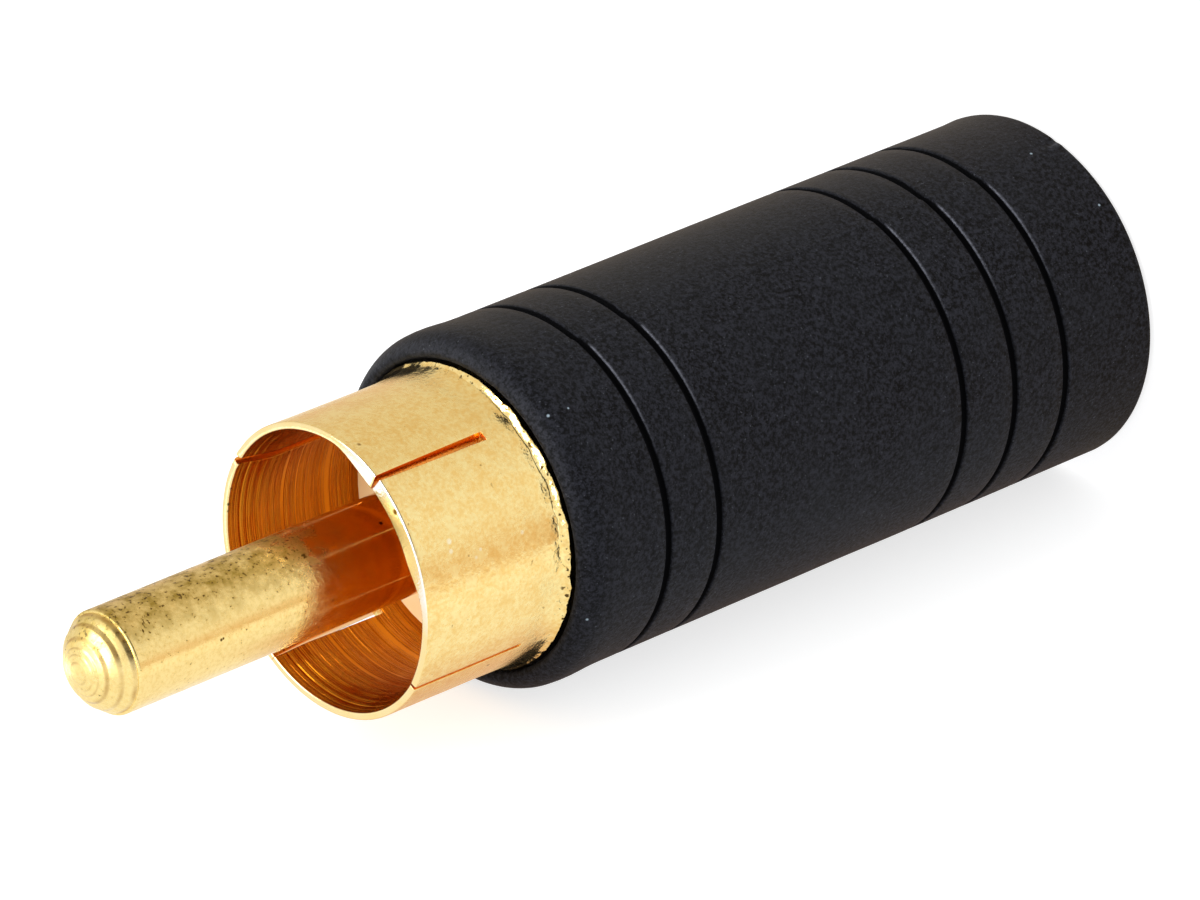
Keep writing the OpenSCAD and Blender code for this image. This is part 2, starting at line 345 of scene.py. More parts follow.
# The shell's own shape
WALL = 0.4
RIM_ROUND = 0.06
SLIT_LENGTH = 4.15
SLIT_COLUMNS = 2
SHELL_COLUMNS = 360
SHELL_ROW = 0.13
ROOT_ROW = 0.025
FLANGE_TOP = shell_back + 1.2
ANCHOR_TOP = FLANGE_TOP + 0.8
ANCHOR_DEPTH = 0.75
SEAT = face_z - 1.6
HOLE = 2.02
EDGE_BEVEL = 0.02
EDGE_ANGLE = 55
slit_end = rim_z - SLIT_LENGTH
root_low = grip_len - 0.6
root_high = grip_len + 0.5
# Points below this height keep their places
bent_from = root_low + 0.01
# Where each saw cut is, how wide it now stands open at the rim and at its end, the share of that at the
# bore, and how far it has shifted in degrees
SLITS = {
    0: (0.2, 0.2, 1.5, 0.0),
    90: (0.02, 0.24, 1.0, -1.3),
    180: (0.11, 0.14, 0.7, 0.0),
    -90: (0.2, 0.32, 0.3, 0.0),
}
# A saw cut closes along its length with this power, and carries the plate up to this many degrees away
CLOSING_POWER = 0.7
CARRIED_TO = 16
CARRIED_BELOW = 0.4
# How far each finger's first corner, middle and last corner stand in (-) or out (+) at the rim
FINGERS = {
    -135: (0.0, -0.14, 0.05),
    -45: (0.0, 0.02, 0.03),
    45: (0.02, 0, -0.02),
    135: (-0.03, 0.01, 0.0),
}
FINGER_SPAN = 90
BEND_POWER = 1.6
# The rim is thickest round this angle, beside the widest saw cut, and thins out between two angles from it
THICK_SIDE = -105
THICK_RIM = 0.14
THICK_DEPTH = 0.6
THICK_SPAN = (18, 42)
# The bore opens this much towards the rim, over this depth, and has slight rings
LEAD_IN = 0.17
LEAD_DEPTH = 1.3
BORE_RING = 0.008
BORE_RING_SIZE = 0.3
# Where the shell leaves the grip: a rough burr, highest on the camera's side and low past the second angle
flare_z = grip_len - 0.15
FLARE = 0.12
FLARE_HEIGHT = 0.13
FLARE_SPAN = (25, 60)
FLARE_LOSS = 0.8
FLARE_DROP = 0.1
FLARE_COARSE = 0.7
FLARE_FINE = 0.25
FLARE_WANDER = 0.06
FLARE_WANDER_SIZE = 0.4
# Above the burr the plate runs out in a thin skirt, which is larger where the burr is low
SKIRT = 0.1
SKIRT_GAIN = 0.1
SKIRT_LENGTH = 0.14
SKIRT_STRETCH = 0.2
# The corner of the slit at 0 degrees is chewed, and the whole shell is very slightly uneven
CHEWED = 0.08
CHEWED_SIZE = 0.15
CHEWED_TURN = 5
CHEWED_BAND = 0.1
UNEVEN = 0.006
UNEVEN_SIZE = 1.3
# The shell's materials by their places in its list
BORE_FINISH = 1
SAWN_FINISH = 2
RIM_FINISH = 3
RIM_BAND = 0.15
# A face is inside the bore, a saw cut's wall or part of the rim by how far it points out, in or up
BORE_LOW = face_z - 1
POINTS_OUT = 0.5
POINTS_LEVEL = 0.3
POINTS_UP = 0.35


def shell_profile():
    """The shell's section, from its back out over flange and anchor, up the fingers and down the bore."""
    bore = shell_r - WALL
    neck = shell_r - ANCHOR_DEPTH
    root = [root_low] + between(root_low, root_high, ROOT_ROW)
    root += [root_high] + between(root_high, slit_end, SHELL_ROW)
    straight = [slit_end] + between(slit_end, rim_z - RIM_ROUND, SHELL_ROW)
    outside = arc((shell_r - RIM_ROUND, rim_z - RIM_ROUND), RIM_ROUND, 0, 90, steps=4)
    inside = arc((bore + RIM_ROUND, rim_z - RIM_ROUND), RIM_ROUND, 90, 180, steps=4)
    outline = [(HOLE, shell_back), (shell_r, shell_back), (shell_r, FLANGE_TOP)]
    outline += [(neck, FLANGE_TOP), (neck, ANCHOR_TOP), (shell_r, ANCHOR_TOP)]
    outline += [(shell_r, z) for z in root + straight] + outside
    outline += inside + [(bore, z) for z in reversed(root + straight)]
    outline += [(bore, SEAT), (HOLE, SEAT), (HOLE, shell_back)]
    return outline


def cut_slit(piece, middle):
    """Takes one slit's strip of faces away and closes its walls and its square end."""
    half = SLIT_COLUMNS * 360 / SHELL_COLUMNS
    data = piece.data
    for item in list(data.vertices) + list(data.edges) + list(data.polygons):
        item.select = False
    for face in data.polygons:
        angle, _, height = polar(face.center)
        face.select = height > slit_end and abs(apart(angle, middle)) < half
    bpy.ops.object.mode_set(mode="EDIT")
    bpy.ops.mesh.select_mode(type="FACE")
    bpy.ops.mesh.delete(type="FACE")
    bpy.ops.mesh.select_mode(type="EDGE")
    bpy.ops.mesh.select_non_manifold()
    bpy.ops.object.mode_set(mode="OBJECT")
    middle_r = shell_r - WALL / 2
    for edge in data.edges:
        sides = [polar(data.vertices[i].co)[1] > middle_r for i in edge.vertices]
        if sides[0] != sides[1]:
            edge.select = False
    bpy.ops.object.mode_set(mode="EDIT")
    bpy.ops.mesh.bridge_edge_loops()
    bpy.ops.mesh.select_all(action="DESELECT")
    bpy.ops.object.mode_set(mode="OBJECT")


def slit_drift(angle, across, height):
    """How far a point is carried round, in degrees, where the saw cuts have closed up or shifted."""
    sawn = SLIT_COLUMNS * 360 / SHELL_COLUMNS
    carried = 0
    deep = min(max((rim_z - height) / SLIT_LENGTH, 0), 1)
    inward = min(max((shell_r - across) / WALL, 0), 1)
    for slit, (rim_width, end_width, bore_share, shift) in SLITS.items():
        width = rim_width + (end_width - rim_width) * deep ** CLOSING_POWER
        width *= 1 - (1 - bore_share) * inward
        off = apart(angle, slit)
        closing = sawn - math.degrees(width / 2 / shell_r)
        hold = (1 - ease(abs(off), sawn, CARRIED_TO)) * ease(height, slit_end - CARRIED_BELOW, slit_end)
        carried += (shift - math.copysign(closing, off)) * min(abs(off) / sawn, 1) * hold
    return carried


def root_flare(angle, height):
    """How far the shell's outside stands out where it leaves the grip: a rough burr and a thin skirt."""
    around = unit(angle) * shell_r
    rough = 0.5 * grain(around, FLARE_COARSE) + 0.5 * grain(around, FLARE_FINE)
    above = height - flare_z - FLARE_WANDER * grain(around, FLARE_WANDER_SIZE)
    side = ease(abs(apart(angle, CAMERA_AZIMUTH)), *FLARE_SPAN)
    burr = FLARE * (1 - FLARE_LOSS * side) * (1 + rough)
    skirt = SKIRT + SKIRT_GAIN * side
    if above <= 0:
        return (burr + skirt) * bell(above, FLARE_DROP)
    burr *= max(1 - above / (FLARE_HEIGHT * (1 + rough)), 0)
    return burr + skirt * math.exp(-above / (SKIRT_LENGTH + SKIRT_STRETCH * side))


def finger_bend(angle, across, height):
    """Handling has bent the fingers a little, and the shell flares where it leaves the grip."""
    if height < bent_from:
        return angle, across, height
    place = at(angle, across, height)
    outer = across > shell_r - WALL / 2
    drift = slit_drift(angle, across, height)
    for middle, (start, belly, end) in FINGERS.items():
        share = (apart(angle, middle) + FINGER_SPAN / 2) / FINGER_SPAN
        if 0 <= share <= 1 and height > slit_end:
            lean = (height - slit_end) / SLIT_LENGTH
            bow = start * (1 - share) + end * share + belly * 4 * share * (1 - share)
            across += bow * lean ** BEND_POWER
    if outer:
        across += root_flare(angle, height)
    else:
        across += BORE_RING * noise.noise((0, 0, height / BORE_RING_SIZE))
        thick = 1 - ease(abs(apart(angle, THICK_SIDE)), *THICK_SPAN)
        across += LEAD_IN * ease(height, rim_z - LEAD_DEPTH, rim_z) * (1 - thick)
        across -= THICK_RIM * ease(height, rim_z - THICK_DEPTH, rim_z) * thick
    if height > rim_z - CHEWED_BAND:
        height += CHEWED * grain(place, CHEWED_SIZE) * bell(apart(angle, 0), CHEWED_TURN)
    across += UNEVEN * grain(place, UNEVEN_SIZE)
    return angle + drift, across, height


def make_shell(satin, bored):
    """The gold shell: a turned cup with a flange and an anchor groove, slit into four fingers."""
    piece = turn("shell", shell_profile(), SHELL_COLUMNS)
    for slit in SLITS:
        cut_slit(piece, slit)
    move_points(piece, finger_bend)
    edges = piece.modifiers.new("slit_edges", "BEVEL")
    edges.width = EDGE_BEVEL * MM
    edges.segments = 2
    edges.limit_method = "ANGLE"
    edges.angle_limit = math.radians(EDGE_ANGLE)
    bpy.context.view_layer.objects.active = piece
    bpy.ops.object.modifier_apply(modifier="slit_edges")
    sawn = plain_metal("sawn_plate", "#eda044", "#f6bc60", 0.15, 0.28, 0.08)
    # The rim: burnished, with a painted highlight on one side and dark spots
    rim = plain_metal("burnished_rim_painted_highlight", "#ffdf90", "#ffebb8", 0.12, 0.24, 0.1, RIM_SPOTS, RIM_HIGHLIGHT_SIDE)
    finish_piece(piece, [satin, bored, sawn, rim], "gold", "plug_shell")
    for face in piece.data.polygons:
        place = face.center / MM
        across = math.hypot(place.x, place.y)
        outward = (face.normal.x * place.x + face.normal.y * place.y) / across
        if place.z > BORE_LOW and outward < POINTS_OUT and face.normal.z < POINTS_LEVEL:
            face.material_index = BORE_FINISH if outward < -POINTS_OUT else SAWN_FINISH
        elif place.z > rim_z - RIM_BAND and face.normal.z > POINTS_UP:
            face.material_index = RIM_FINISH


# The pin's own shape
NOSE_HEIGHT = 1.0
NOSE_LEDGE = 0.08
NOSE_STEPS = 160
PIN_ROW = 0.5
PIN_COLUMNS = 128
STEM_R = 1.1
BARB_R = 1.25
BARB_LENGTH = 0.6
CUP_R = 0.6
CUP_DEPTH = 1.2
# The rounded edge under the nose: steps in from the pin's radius and down from the ledge
PIN_EDGE = [(0, 0.08), (0.005, 0.05), (0.025, 0.01), (0.05, 0)]
PIN_EDGE_LENGTH = 0.1
# Width and height of the lathe's rings on the nose, and the share of a ring that its steep side takes
NOSE_RING = 0.24
RING_HEIGHT = 0.048
RING_STEEP = 0.3
# The rings drift from an even pitch, and are only this strong in the middle, full past the second distance
RING_DRIFT = 0.05
RING_DRIFT_RATE = 7
RING_LEAST = 0.12
RING_FULL = (0.4, 1.2)
# Dirt in the rings: the least, what is added where the rings are full, and how patchy it is
DIRT = 0.3
DIRT_GAIN = 0.4
DIRT_PATCHY = 0.8
DIRT_SIZE = 0.45


def ring_share(across):
    """How far across a lathe ring a distance from the axis is, from 0 to 1; the rings aren't quite even."""
    inward = pin_r - NOSE_LEDGE - across
    return (inward + RING_DRIFT * math.sin(RING_DRIFT_RATE * inward)) / NOSE_RING % 1


def pin_profile():
    """The pin's section, from the bottom of its solder cup out, up to the nose and over its rings."""
    nose_z = pin_top - NOSE_HEIGHT
    nose_r = pin_r - NOSE_LEDGE
    barb_z = (insulator_back + face_z) / 2
    barb_top = barb_z + BARB_LENGTH
    cup_z = pin_back + CUP_DEPTH
    outline = [(0, cup_z), (CUP_R, cup_z), (CUP_R, pin_back), (STEM_R, pin_back)]
    outline += [(STEM_R, barb_z), (BARB_R, barb_top), (STEM_R, barb_top), (STEM_R, face_z), (pin_r, face_z)]
    outline += [(pin_r, z) for z in between(face_z, nose_z - PIN_EDGE_LENGTH, PIN_ROW)]
    outline += [(pin_r - step_in, nose_z - step_down) for step_in, step_down in PIN_EDGE]
    outline += [(nose_r, nose_z)]
    ball_r = (nose_r ** 2 + NOSE_HEIGHT ** 2) / (2 * NOSE_HEIGHT)
    for i in range(1, NOSE_STEPS + 1):
        across = nose_r * (1 - i / NOSE_STEPS)
        dome = math.sqrt(ball_r ** 2 - across ** 2) - ball_r + NOSE_HEIGHT
        share = ring_share(across)
        ring = share / RING_STEEP if share < RING_STEEP else (1 - share) / (1 - RING_STEEP)
        strength = RING_LEAST + (1 - RING_LEAST) * ease(across, *RING_FULL)
        outline.append((across, nose_z + dome + RING_HEIGHT * (ring * strength - RING_LEAST)))
    return outline


def dirt_in_rings(angle, across, height):
    """How much dirt has stayed in the rings of the nose."""
    if height <= pin_top - NOSE_HEIGHT - MERGE:
        return 0
    line = bell(ring_share(across) - RING_STEEP / 2, RING_STEEP / 2)
    patch = grain(at(angle, across, height), DIRT_SIZE)
    return line * (DIRT + DIRT_GAIN * ease(across, *RING_FULL) + DIRT_PATCHY * patch)


def make_pin():
    """The centre pin: turned, with a low nose left in rings by the lathe."""
    piece = turn("pin", pin_profile(), PIN_COLUMNS)
    mark_points(piece, "dirt", dirt_in_rings)
    finish_piece(piece, [handled_gold_pin()], "gold", "centre_pin", smooth=50)


# The socket's ring, seen at the jack end
MOUTH = 0.3
BUSHING_BORE = 1.8
BUSHING_EDGE = 0.08
BARREL_R = 2.7
FLANGE_DEPTH = 0.8
# How far the mouth's corners are softened along the bore, on the slope and on the face
SOFT_BORE = 0.1
SOFT_SLOPE_R = 0.04
SOFT_SLOPE_Z = 0.03
SOFT_FACE = 0.06
# Rings of points on the face, from this far outside the mouth
FACE_START = 0.2
FACE_RINGS = 6
FACE_RING = 0.12
BUSHING_COLUMNS = 128


def make_bushing(satin, bored):
    """The turned ring round the jack socket's mouth, with rounded edges."""
    mouth_r = BUSHING_BORE + MOUTH
    corner = (flange_r - BUSHING_EDGE, BUSHING_EDGE)
    outline = [(BUSHING_BORE, bushing_back), (BUSHING_BORE, MOUTH + SOFT_BORE)]
    outline += [(BUSHING_BORE + SOFT_SLOPE_R, MOUTH), (mouth_r, SOFT_SLOPE_Z), (mouth_r + SOFT_FACE, 0)]
    outline += [(mouth_r + FACE_START + FACE_RING * i, 0.0) for i in range(FACE_RINGS)]
    outline += arc(corner, BUSHING_EDGE, -90, 0, steps=4)
    outline += [(flange_r, FLANGE_DEPTH), (BARREL_R, FLANGE_DEPTH), (BARREL_R, bushing_back)]
    outline += [(BUSHING_BORE, bushing_back)]
    piece = turn("bushing", outline, BUSHING_COLUMNS)
    finish_piece(piece, [satin, bored], "gold", "jack_bushing")
    for face in piece.data.polygons:
        if polar(face.center)[1] < BUSHING_BORE + SOFT_SLOPE_R * 0.75:
            face.material_index = BORE_FINISH


def linear(code):
    """An sRGB hex colour as linear red, green, blue and alpha."""
    parts = [int(code[i:i + 2], 16) / 255 for i in (1, 3, 5)]
    return [c / 12.92 if c <= 0.04045 else ((c + 0.055) / 1.055) ** 2.4 for c in parts] + [1]


def add(tree, kind, inputs=None, **settings):
    """Adds a node to a tree: settings are its properties, inputs are values or other nodes' outputs."""
    node = tree.nodes.new("ShaderNode" + kind)
    for name, value in settings.items():
        setattr(node, name, value)
    for socket, value in (inputs or {}).items():
        if isinstance(value, bpy.types.NodeSocket):
            tree.links.new(value, node.inputs[socket])
        else:
            node.inputs[socket].default_value = value
    return node


def start_material(name):
    """A new empty material, its tree, and the places of its points in metres."""
    material = bpy.data.materials.new(name)
    material.use_nodes = True
    tree = material.node_tree
    tree.nodes.clear()
    return material, tree, add(tree, "TexCoord").outputs["Object"]


def coat(material, tree, colour, gloss, skin, **more):
    """Closes a material with its surface, and hands it back."""
    surface = {"Base Color": colour, "Roughness": gloss, "Normal": skin, **more}
    shader = add(tree, "BsdfPrincipled", surface)
    out = add(tree, "OutputMaterial")
    tree.links.new(shader.outputs[0], out.inputs[0])
    return material


def mix(tree, share, first, second):
    """A colour between two, each a hex code, a colour or another node's output."""
    ends = [linear(colour) if isinstance(colour, str) else colour for colour in (first, second)]
    return add(tree, "Mix", {0: share, 6: ends[0], 7: ends[1]}, data_type="RGBA").outputs[2]


def ramp(tree, value, start=0, end=1, low=0, high=1):
    """A value carried from the range of start to end into that of low to high, and held there."""
    inputs = {"Value": value, "From Min": start, "From Max": end, "To Min": low, "To Max": high}
    return add(tree, "MapRange", inputs).outputs[0]


def calc(tree, operation, *values):
    """One step of arithmetic."""
    return add(tree, "Math", dict(enumerate(values)), operation=operation).outputs[0]


def clouds(tree, place, size, detail, roughness=0.5):
    """A cloudy pattern whose features are a size in mm across."""
    inputs = {"Vector": place, "Scale": 1 / (size * MM), "Detail": detail, "Roughness": roughness}
    return add(tree, "TexNoise", inputs).outputs[0]


def bump(tree, height, depth, strength, under=None):
    """A skin with a relief of a depth in mm, on top of another skin if there is one."""
    inputs = {"Height": height, "Distance": depth * MM, "Strength": strength}
    if under is not None:
        inputs["Normal"] = under
    return add(tree, "Bump", inputs).outputs[0]


def along(tree, place, direction):
    """How far a place lies along a direction."""
    return add(tree, "VectorMath", {0: place, 1: direction}, operation="DOT_PRODUCT").outputs["Value"]


def height_of(tree, place):
    """How high a place lies."""
    return add(tree, "SeparateXYZ", {0: place}).outputs["Z"]


def spots(tree, place, marks):
    """1 inside small round marks, 0 elsewhere."""
    covered = 0.0
    for angle, across, height, size in marks:
        middle = at(angle, across, height) * MM
        away = add(tree, "VectorMath", {0: place, 1: middle}, operation="DISTANCE").outputs["Value"]
        spot = ramp(tree, away, size * MM, size / 2 * MM)
        covered = calc(tree, "MAXIMUM", covered, spot)
    return covered


# Small round marks, each with its angle, distance from the axis, height and size.
# Specks of dust on the grip
DUST = [
    (-73.8, grip_r, 1.3, 0.06),
    (-100.5, grip_r, 0.6, 0.05),
    (-166, grip_r - 0.1, grip_len - 0.42, 0.06),
    (-96.4, grip_r - 0.03, grip_len - 0.58, 0.06),
    (-96.9, grip_r + 0.04, grip_len - 1.29, 0.045),
    (-90.5, grip_r - 0.2, grip_len - 0.25, 0.05),
]
# Painted highlights on small dents in the shell
DENT_HIGHLIGHTS = [
    (-129, shell_r, 26.52, 0.08),
    (-131.3, shell_r - 0.02, 26.73, 0.07),
    (-129, shell_r, 24.91, 0.08),
    (-121.9, shell_r - 0.05, 27.52, 0.11),
    (-125.6, shell_r - 0.05, 27.56, 0.09),
]
# Dark specks just inside the shell's rim, and a dark spot on the rim besides
BORE_SPECKS = [
    (15.2, shell_r - 0.25, rim_z - 0.05, 0.07),
    (19.5, shell_r - 0.25, rim_z - 0.02, 0.05),
    (22.6, shell_r - 0.25, rim_z - 0.04, 0.08),
    (25.8, shell_r - 0.25, rim_z - 0.03, 0.06),
]
RIM_SPOTS = BORE_SPECKS + [(-104, shell_r - 0.15, rim_z, 0.12)]
# Single dark marks on the pin
PIN_MARKS = [
    (-139.6, pin_r, 34.15, 0.06),
    (-139, pin_r, 34.07, 0.05),
    (-88.9, pin_r, 27.3, 0.08),
]
# A painted highlight makes the rim pale round this angle, between these distances along it
RIM_HIGHLIGHT_SIDE = -112
RIM_HIGHLIGHT_SPAN = (3.2, 3.9)
# The pin's tarnish lies along this side, between these distances along it
TARNISHED_SIDE = -40
TARNISHED_SPAN = (0.1, 1.3)


def moulded_pvc():
    """Moulded soft PVC: near black with a grey bloom, grainy on one mould half, smoother on the other;
    painted shade in the grooves, painted highlights on their rear edges and the nose's crown.
    """
    material, tree, place = start_material("moulded_pvc")
    side = along(tree, place, unit(PARTING + 90))
    smooth = ramp(tree, side, 0, 1.2 * MM)
    speck = clouds(tree, place, size=0.13, detail=3, roughness=0.8)
    glint = clouds(tree, place, size=0.08, detail=1)
    cloud = clouds(tree, place, size=2.5, detail=3)
    spread = ramp(tree, smooth, low=1.0, high=0.6)
    grit = calc(tree, "MULTIPLY", calc(tree, "ADD", speck, -0.5), spread)
    tone = mix(tree, ramp(tree, grit, -0.09, 0.11), "#020203", "#27282f")
    bloom = ramp(tree, cloud, 0.35, 0.75, high=0.3)
    colour = mix(tree, bloom, tone, "#202226")
    sparkle = ramp(tree, glint, 0.7, 0.8, high=0.5)
    colour = mix(tree, sparkle, colour, "#5a5d64")
    painted_light_and_ridge = add(tree, "Attribute", attribute_name="painted_light_and_ridge").outputs["Fac"]
    # Painted shade: darker and less glossy inside the grooves
    painted_groove_shade = ramp(tree, painted_light_and_ridge, 0, -1)
    colour = mix(tree, painted_groove_shade, colour, "#09090b")
    # Painted highlights on the grooves' rear edges and the nose's crown, and the pale ridge by the nick,
    # broken up by the grain
    broken = ramp(tree, speck, 0.35, 0.55, low=0.4)
    worn = calc(tree, "MULTIPLY", ramp(tree, painted_light_and_ridge), broken)
    colour = mix(tree, worn, colour, "#6c6e77")
    colour = mix(tree, spots(tree, place, DUST), colour, "#93a3ae")
    gloss = ramp(tree, smooth, low=0.66, high=0.52)
    skin = bump(tree, calc(tree, "ADD", grit, 0.5), 0.05, 0.5)
    sheen = ramp(tree, painted_groove_shade, low=0.1, high=0.04)
    return coat(material, tree, colour, gloss, skin, **{"Specular IOR Level": sheen})


def satin_gold_plate():
    """Gold plate on turned brass: satin, softly mottled, with a few dark pits, painted highlights on small
    dents, and rough at the root.
    """
    material, tree, place = start_material("satin_gold_plate")
    level = height_of(tree, place)
    mottle = clouds(tree, place, size=0.45, detail=4, roughness=0.6)
    fine = clouds(tree, place, size=0.12, detail=2)
    pits = clouds(tree, place, size=0.3, detail=2)
    chips = clouds(tree, place, size=0.15, detail=2)
    root = ramp(tree, level, (grip_len + 0.2) * MM, (grip_len - 0.05) * MM)
    clear = ramp(tree, level, (grip_len + 0.8) * MM, (grip_len + 0.3) * MM, low=1, high=0.4)
    blush = ramp(tree, calc(tree, "ADD", mottle, fine), 0.78, 1.22)
    colour = mix(tree, blush, "#f6d080", "#ffe8a2")
    colour = mix(tree, ramp(tree, pits, 0.72, 0.8), colour, "#a9874a")
    # Painted highlights on small dents
    colour = mix(tree, spots(tree, place, DENT_HIGHLIGHTS), colour, "#fff2c8")
    fleck = calc(tree, "MULTIPLY", ramp(tree, chips, 0.62, 0.68), root)
    colour = mix(tree, fleck, colour, "#5b431c")
    gloss = calc(tree, "MULTIPLY", ramp(tree, mottle, 0.3, 0.7, 0.2, 0.32), clear)
    broad = bump(tree, mottle, 0.05, 0.12)
    skin = bump(tree, fine, 0.02, calc(tree, "MULTIPLY", clear, 0.5), broad)
    rough = bump(tree, chips, 0.01, root, skin)
    return coat(material, tree, colour, gloss, rough, Metallic=1)


def turned_gold_bore_painted_shade():
    """Gold plate in a bored hole: rings left by the tool, bright on one flank and dark on the other, in a
    darker, more orange tone than the outside plate, which is painted shade.
    """
    material, tree, place = start_material("turned_gold_bore_painted_shade")
    rows = add(tree, "CombineXYZ", {"Z": height_of(tree, place)}).outputs[0]
    coarse = clouds(tree, rows, size=0.3, detail=4, roughness=0.7)
    fine = clouds(tree, rows, size=0.13, detail=2)
    streak = clouds(tree, rows, size=0.9, detail=1)
    blotch = clouds(tree, place, size=0.9, detail=4)
    # Painted shade: the bore's tones are darker and more orange than the outside plate's
    tone = mix(tree, streak, "#c4740f", "#da922a")
    colour = mix(tree, blotch, tone, "#cc7e16")
    colour = mix(tree, spots(tree, place, BORE_SPECKS), colour, "#4a3410")
    gloss = ramp(tree, blotch, low=0.14, high=0.28)
    ridge = ramp(tree, coarse, 0.45, 0.75)
    kept = ramp(tree, blotch, 0.35, 0.6, 0.5, 0.8)
    cuts = bump(tree, ridge, 0.08, kept)
    rings = bump(tree, fine, 0.03, 0.5, cuts)
    return coat(material, tree, colour, gloss, rings, Metallic=1)


def handled_gold_pin():
    """Gold plate on a turned pin: bright, worn in soft patches, olive tarnish and specks along one side;
    painted shade below the shell's rim and a painted highlight on the nose.
    """
    material, tree, place = start_material("handled_gold_pin")
    height = height_of(tree, place)
    side = along(tree, place, unit(TARNISHED_SIDE))
    band = ramp(tree, side, *(limit * MM for limit in TARNISHED_SPAN))
    cloud = clouds(tree, place, size=0.5, detail=5, roughness=0.7)
    dots = clouds(tree, place, size=0.14, detail=3, roughness=0.6)
    uneven = calc(tree, "MULTIPLY_ADD", cloud, 0.8 * MM, height)
    outside = ramp(tree, uneven, (rim_z - 0.8) * MM, (rim_z + 2.2) * MM)
    handled = calc(tree, "MULTIPLY", ramp(tree, cloud, 0.3, 0.62), outside)
    veil = calc(tree, "MULTIPLY", band, handled)
    over = calc(tree, "SUBTRACT", dots, ramp(tree, veil, low=0.68, high=0.54))
    speck = calc(tree, "MULTIPLY", ramp(tree, over, 0, 0.05), outside)
    dark = calc(tree, "MAXIMUM", speck, spots(tree, place, PIN_MARKS))
    rub = calc(tree, "MULTIPLY", ramp(tree, dots, 0.42, 0.62, high=0.45), outside)
    nose = ramp(tree, height, (pin_top - NOSE_HEIGHT - PIN_EDGE_LENGTH) * MM, (pin_top - NOSE_HEIGHT) * MM)
    # Painted shade: darker and more orange below the shell's rim, paler outside it
    colour = mix(tree, outside, "#e3a94c", "#ffe298")
    colour = mix(tree, rub, colour, "#eac470")
    colour = mix(tree, veil, colour, "#b0933f")
    colour = mix(tree, dark, colour, "#62491c")
    # Painted highlight: a little paler on the nose
    colour = mix(tree, calc(tree, "MULTIPLY", nose, 0.15), colour, "#fff0a8")
    dirt = add(tree, "Attribute", attribute_name="dirt").outputs["Fac"]
    colour = mix(tree, ramp(tree, dirt, high=0.6), colour, "#a8742e")
    worn = ramp(tree, handled, low=0.11, high=0.28)
    gloss = calc(tree, "ADD", worn, ramp(tree, veil, high=0.18))
    gloss = calc(tree, "MULTIPLY", gloss, ramp(tree, nose, low=1, high=1.4))
    stretched = add(tree, "Mapping", {"Vector": place, "Scale": (1, 1, 0.06)}).outputs[0]
    lines = bump(tree, clouds(tree, stretched, size=0.2, detail=3), 0.03, 0.15)
    skin = bump(tree, dots, 0.03, rub, lines)
    return coat(material, tree, colour, gloss, skin, Metallic=1)


def plain_moulding(name, dark, light, gloss_low, gloss_high, grit):
    """A moulded plastic with slight clouds of tone and a fine skin."""
    material, tree, place = start_material(name)
    cloud = clouds(tree, place, size=1.2, detail=4)
    fine = clouds(tree, place, size=grit, detail=2)
    gloss = ramp(tree, cloud, low=gloss_low, high=gloss_high)
    return coat(material, tree, mix(tree, cloud, dark, light), gloss, bump(tree, fine, 0.02, 0.3))


def plain_metal(name, dark, light, gloss_low, gloss_high, grit, marks=(), highlight_side=None):
    """A metal with soft blotches, a slightly uneven skin, and perhaps dark marks or a painted highlight
    along one side.
    """
    material, tree, place = start_material(name)
    cloud = clouds(tree, place, size=0.7, detail=4)
    fine = clouds(tree, place, size=grit, detail=2)
    colour = mix(tree, cloud, dark, light)
    # Painted highlight along one side
    if highlight_side is not None:
        side = along(tree, place, unit(highlight_side))
        worn = ramp(tree, side, *(limit * MM for limit in RIM_HIGHLIGHT_SPAN))
        colour = mix(tree, worn, colour, "#fffaf0")
    if marks:
        colour = mix(tree, spots(tree, place, marks), colour, "#6f5a26")
    gloss = ramp(tree, cloud, low=gloss_low, high=gloss_high)
    return coat(material, tree, colour, gloss, bump(tree, fine, 0.02, 0.3), Metallic=1)


def finish_cad_nodes():
    """Gives the CAD nodes that stay their finishes."""
    finishes = {
        # Natural white nylon, tinted gold: painted light from the gold bore
        "plug_insulator": plain_moulding("natural_nylon_painted_gold_light", "#ffdfa0", "#ffedc2", 0.35, 0.5, 0.1),
        "jack_housing": plain_moulding("black_nylon", "#0d0d0f", "#1c1c1f", 0.35, 0.5, 0.1),
        "inner_mould": plain_moulding("natural_polythene", "#d6d2c6", "#e4e0d6", 0.4, 0.55, 0.2),
        "tip_spring": plain_metal("phosphor_bronze", "#b98a4a", "#d6a864", 0.22, 0.34, 0.12),
    }
    tinned = plain_metal("tinned_copper", "#b9bbbd", "#d9dadb", 0.2, 0.35, 0.15)
    for name in ["sleeve_tag", "signal_wire", "ground_wire"]:
        finishes[name] = tinned
    solder = plain_metal("soft_solder", "#a9abad", "#cfd0d1", 0.28, 0.45, 0.25)
    for name in ["solder_tip_lug", "solder_pin_cup", "solder_sleeve_tag", "solder_shell"]:
        finishes[name] = solder
    for name, material in finishes.items():
        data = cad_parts[name].data
        data.materials.clear()
        data.materials.append(material)


# The stage: sizes of the floor and the sheet, and how far each is clear of the plug
FLOOR_SIZE = 3000
FLOOR_DROP = 0.02
SHEET_SIZE = 240
SHEET_CLEAR = 0.06
# Past everything that the metal can see of the floor
FAR = 2000


